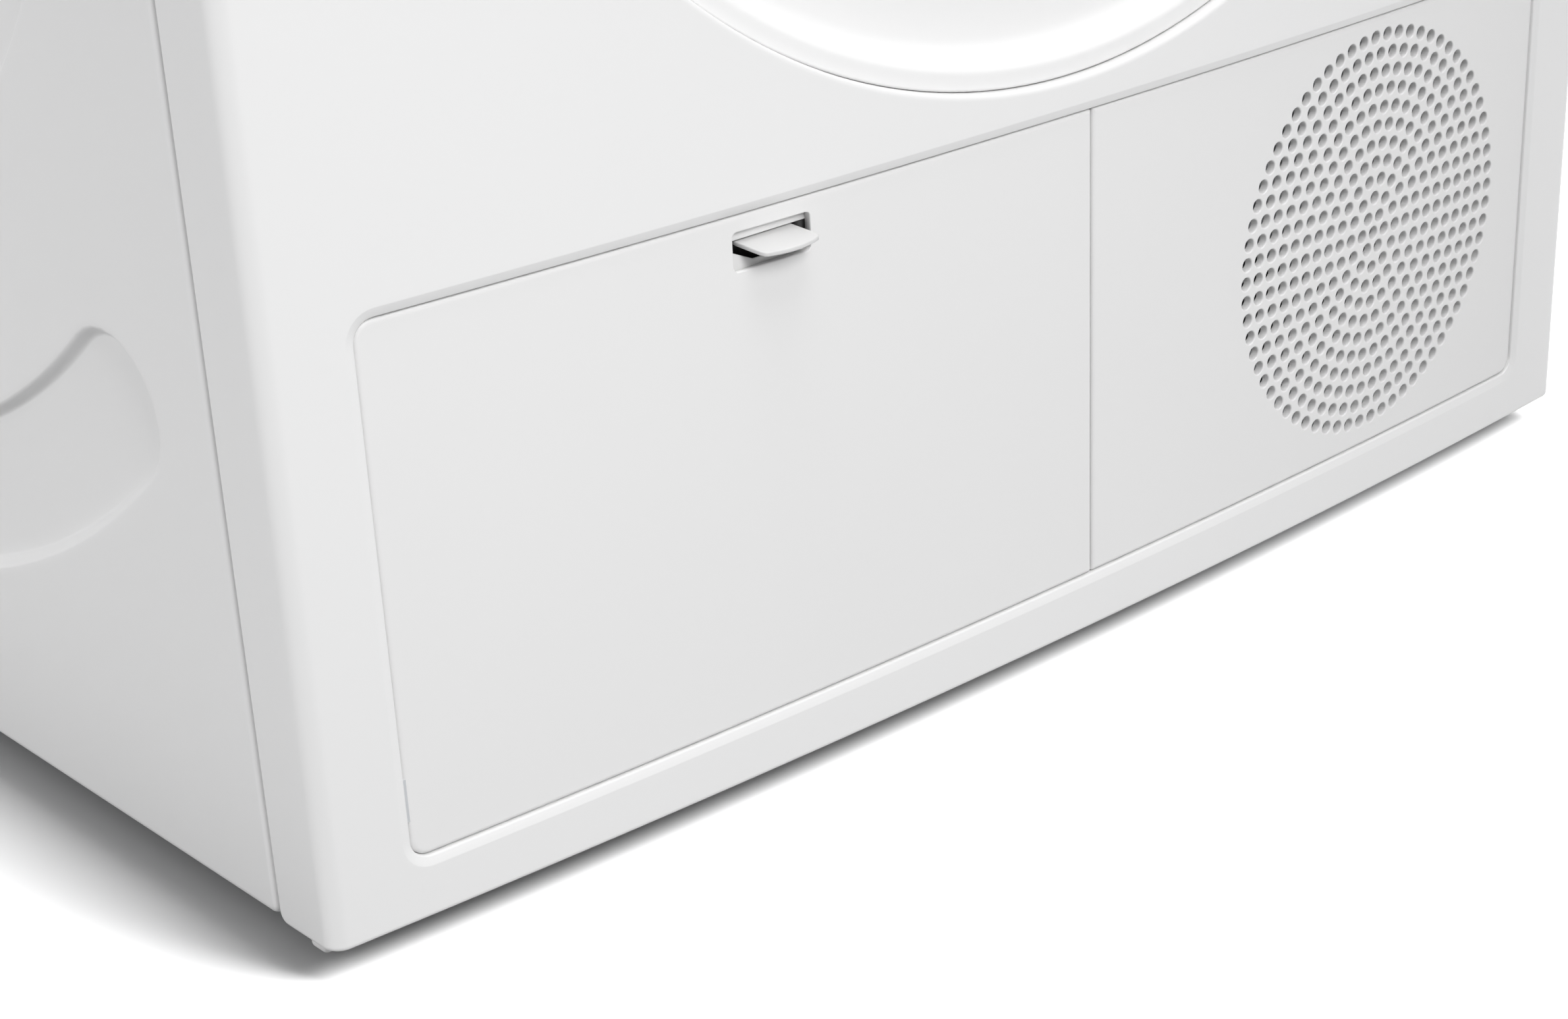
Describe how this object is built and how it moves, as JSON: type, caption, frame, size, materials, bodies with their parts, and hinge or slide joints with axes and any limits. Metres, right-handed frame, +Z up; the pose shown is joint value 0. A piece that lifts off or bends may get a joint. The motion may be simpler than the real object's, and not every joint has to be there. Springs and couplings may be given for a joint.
{
  "type": "clothes dryer",
  "caption": "Free-standing front-loading heat pump clothes dryer with round concave door, service flap, round air grille and embossed side panels.",
  "frame": {"origin": "on the floor, under the middle of the machine's bounding box", "axes": "+Z up, +X to the right seen from the front, +Y towards the back"},
  "size_m": [0.596, 0.64, 0.849],
  "materials": {
    "white_steel": "smooth gloss white enamel",
    "white_plastic": "smooth satin white moulding",
    "white_laminate": "white laminate on chipboard",
    "grey_plastic": "fine textured grey moulding",
    "black_plastic": "fine textured black moulding",
    "dark_window": "smoked gloss window",
    "galvanised_steel": "zinc coated sheet",
    "stainless_steel": "brushed stainless",
    "fin_aluminium": "mill finish fins",
    "black_iron": "black painted pressing",
    "sintered_bronze": "sintered bronze bush",
    "black_rubber": "matte black rubber",
    "grey_rubber": "matte grey rubber",
    "grey_felt": "wool felt"
  },
  "bodies": {
    "cabinet": {"base_tray": "black_plastic", "blower_housing": "grey_plastic", "compressor": "black_iron", "control_board": "black_plastic", "control_panel": "white_plastic", "cooling_fan_housing": "grey_plastic", "display_window": "dark_window", "door_hinge_bracket": "galvanised_steel", "door_hinge_pin": "stainless_steel", "door_lock": "grey_plastic", "door_seal": "grey_rubber", "drain_spout": "grey_plastic", "drive_belt": "black_rubber", "drive_motor": "galvanised_steel", "drum_bearing": "sintered_bronze", "drum_felt_seal": "grey_felt", "flap_frame": "grey_plastic", "fluff_filter": "grey_plastic", "front_bulkhead": "grey_plastic", "front_panel": "white_steel", "grille_panel": "white_plastic", "heat_exchangers": "fin_aluminium", "left_side_panel": "white_steel", "power_cord_gland": "black_plastic", "rear_cover": "galvanised_steel", "rear_panel": "galvanised_steel", "rear_screws": "galvanised_steel", "right_side_panel": "white_steel", "roller_axles": "galvanised_steel", "upper_frame": "grey_plastic", "worktop_board": "white_laminate", "worktop_frame": "white_plastic"},
    "door": {"door_outer_panel": "white_steel", "door_inner_panel": "white_plastic", "door_hinge_arm": "galvanised_steel", "door_latch_hook": "galvanised_steel"},
    "drum": {"drum_shell": "stainless_steel", "drum_back": "stainless_steel", "drum_paddles": "grey_plastic"},
    "motor_rotor": {"motor_shaft": "stainless_steel", "blower_impeller": "grey_plastic"},
    "idler_lever": {"idler_arm": "galvanised_steel"},
    "idler_wheel": {"idler_pulley": "black_plastic"},
    "left_roller": {"left_support_roller": "black_rubber"},
    "right_roller": {"right_support_roller": "black_rubber"},
    "fan": {"cooling_fan": "grey_plastic"},
    "knob": {"program_knob": "white_plastic"},
    "power_key": {"power_button": "white_plastic"},
    "start_key": {"start_button": "white_plastic"},
    "tank_drawer": {"water_tank": "grey_plastic", "water_tank_front": "white_plastic"},
    "flap": {"service_flap": "white_plastic"},
    "latch": {"flap_latch": "white_plastic"},
    "lint_screen": {"lint_filter": "grey_plastic"},
    "left_lever": {"left_filter_lever": "grey_plastic"},
    "right_lever": {"right_filter_lever": "grey_plastic"},
    "front_left_leg": {"front_left_foot": "black_rubber"},
    "front_right_leg": {"front_right_foot": "black_rubber"},
    "rear_left_leg": {"rear_left_foot": "black_rubber"},
    "rear_right_leg": {"rear_right_foot": "black_rubber"}
  },
  "joints": [
    {"name": "door_hinge", "type": "hinge", "parent": "cabinet", "child": "door", "pos_m": [0.2435, -0.287, 0.4495], "axis": [0, 0, 1], "range_deg": [0, 135]},
    {"name": "drum_spin", "type": "hinge", "parent": "cabinet", "child": "drum", "pos_m": [0, 0, 0.487], "axis": [0, 1, 0], "continuous": true},
    {"name": "motor_spin", "type": "hinge", "parent": "cabinet", "child": "motor_rotor", "pos_m": [0.205, 0.15, 0.15], "axis": [0, 1, 0], "continuous": true},
    {"name": "idler_tension", "type": "hinge", "parent": "cabinet", "child": "idler_lever", "pos_m": [0.158, 0.08, 0.226], "axis": [0, 1, 0], "range_deg": [0, 12], "stiffness_Nm_per_rad": 2, "springref_deg": -11.46},
    {"name": "idler_spin", "type": "hinge", "parent": "idler_lever", "child": "idler_wheel", "pos_m": [0.112, 0.064, 0.174], "axis": [0, 1, 0], "continuous": true},
    {"name": "left_roller_spin", "type": "hinge", "parent": "cabinet", "child": "left_roller", "pos_m": [-0.18494, -0.2185, 0.25028], "axis": [0, 1, 0], "continuous": true},
    {"name": "right_roller_spin", "type": "hinge", "parent": "cabinet", "child": "right_roller", "pos_m": [0.18494, -0.2185, 0.25028], "axis": [0, 1, 0], "continuous": true},
    {"name": "cooling_fan_spin", "type": "hinge", "parent": "cabinet", "child": "fan", "pos_m": [0.16585, -0.266, 0.116], "axis": [0, 1, 0], "continuous": true},
    {"name": "program_knob_turn", "type": "hinge", "parent": "cabinet", "child": "knob", "pos_m": [0, -0.31, 0.764], "axis": [0, 1, 0], "continuous": true},
    {"name": "power_button_press", "type": "slide", "parent": "cabinet", "child": "power_key", "axis": [0, 1, 0], "range_m": [0, 0.0015], "stiffness_N_per_m": 400, "springref_m": -0.001},
    {"name": "start_button_press", "type": "slide", "parent": "cabinet", "child": "start_key", "axis": [0, 1, 0], "range_m": [0, 0.0015], "stiffness_N_per_m": 400, "springref_m": -0.001},
    {"name": "water_tank_slide", "type": "slide", "parent": "cabinet", "child": "tank_drawer", "axis": [0, -1, 0], "range_m": [0, 0.43]},
    {"name": "service_flap_hinge", "type": "hinge", "parent": "cabinet", "child": "flap", "pos_m": [-0.127, -0.284, 0.051], "axis": [1, 0, 0], "range_deg": [0, 95]},
    {"name": "flap_latch_press", "type": "slide", "parent": "flap", "child": "latch", "axis": [0, 0, -1], "range_m": [0, 0.0025], "stiffness_N_per_m": 300, "springref_m": -0.003},
    {"name": "lint_filter_lift", "type": "slide", "parent": "cabinet", "child": "lint_screen", "axis": [0, 0, 1], "range_m": [0, 0.16]},
    {"name": "left_filter_lock", "type": "hinge", "parent": "cabinet", "child": "left_lever", "pos_m": [-0.248, -0.258, 0.127], "axis": [0, 1, 0], "range_deg": [0, 90]},
    {"name": "right_filter_lock", "type": "hinge", "parent": "cabinet", "child": "right_lever", "pos_m": [-0.032, -0.258, 0.127], "axis": [0, 1, 0], "range_deg": [-90, 0]},
    {"name": "front_left_foot_screw", "type": "slide", "parent": "cabinet", "child": "front_left_leg", "axis": [0, 0, -1], "range_m": [0, 0.015]},
    {"name": "front_right_foot_screw", "type": "slide", "parent": "cabinet", "child": "front_right_leg", "axis": [0, 0, -1], "range_m": [0, 0.015]},
    {"name": "rear_left_foot_screw", "type": "slide", "parent": "cabinet", "child": "rear_left_leg", "axis": [0, 0, -1], "range_m": [0, 0.015]},
    {"name": "rear_right_foot_screw", "type": "slide", "parent": "cabinet", "child": "rear_right_leg", "axis": [0, 0, -1], "range_m": [0, 0.015]}
  ],
  "couplings": [
    {"joint": "motor_spin", "follows": "drum_spin", "ratio": 24.451},
    {"joint": "idler_spin", "follows": "drum_spin", "ratio": 18.059},
    {"joint": "left_roller_spin", "follows": "drum_spin", "ratio": -11},
    {"joint": "right_roller_spin", "follows": "drum_spin", "ratio": -11}
  ]
}
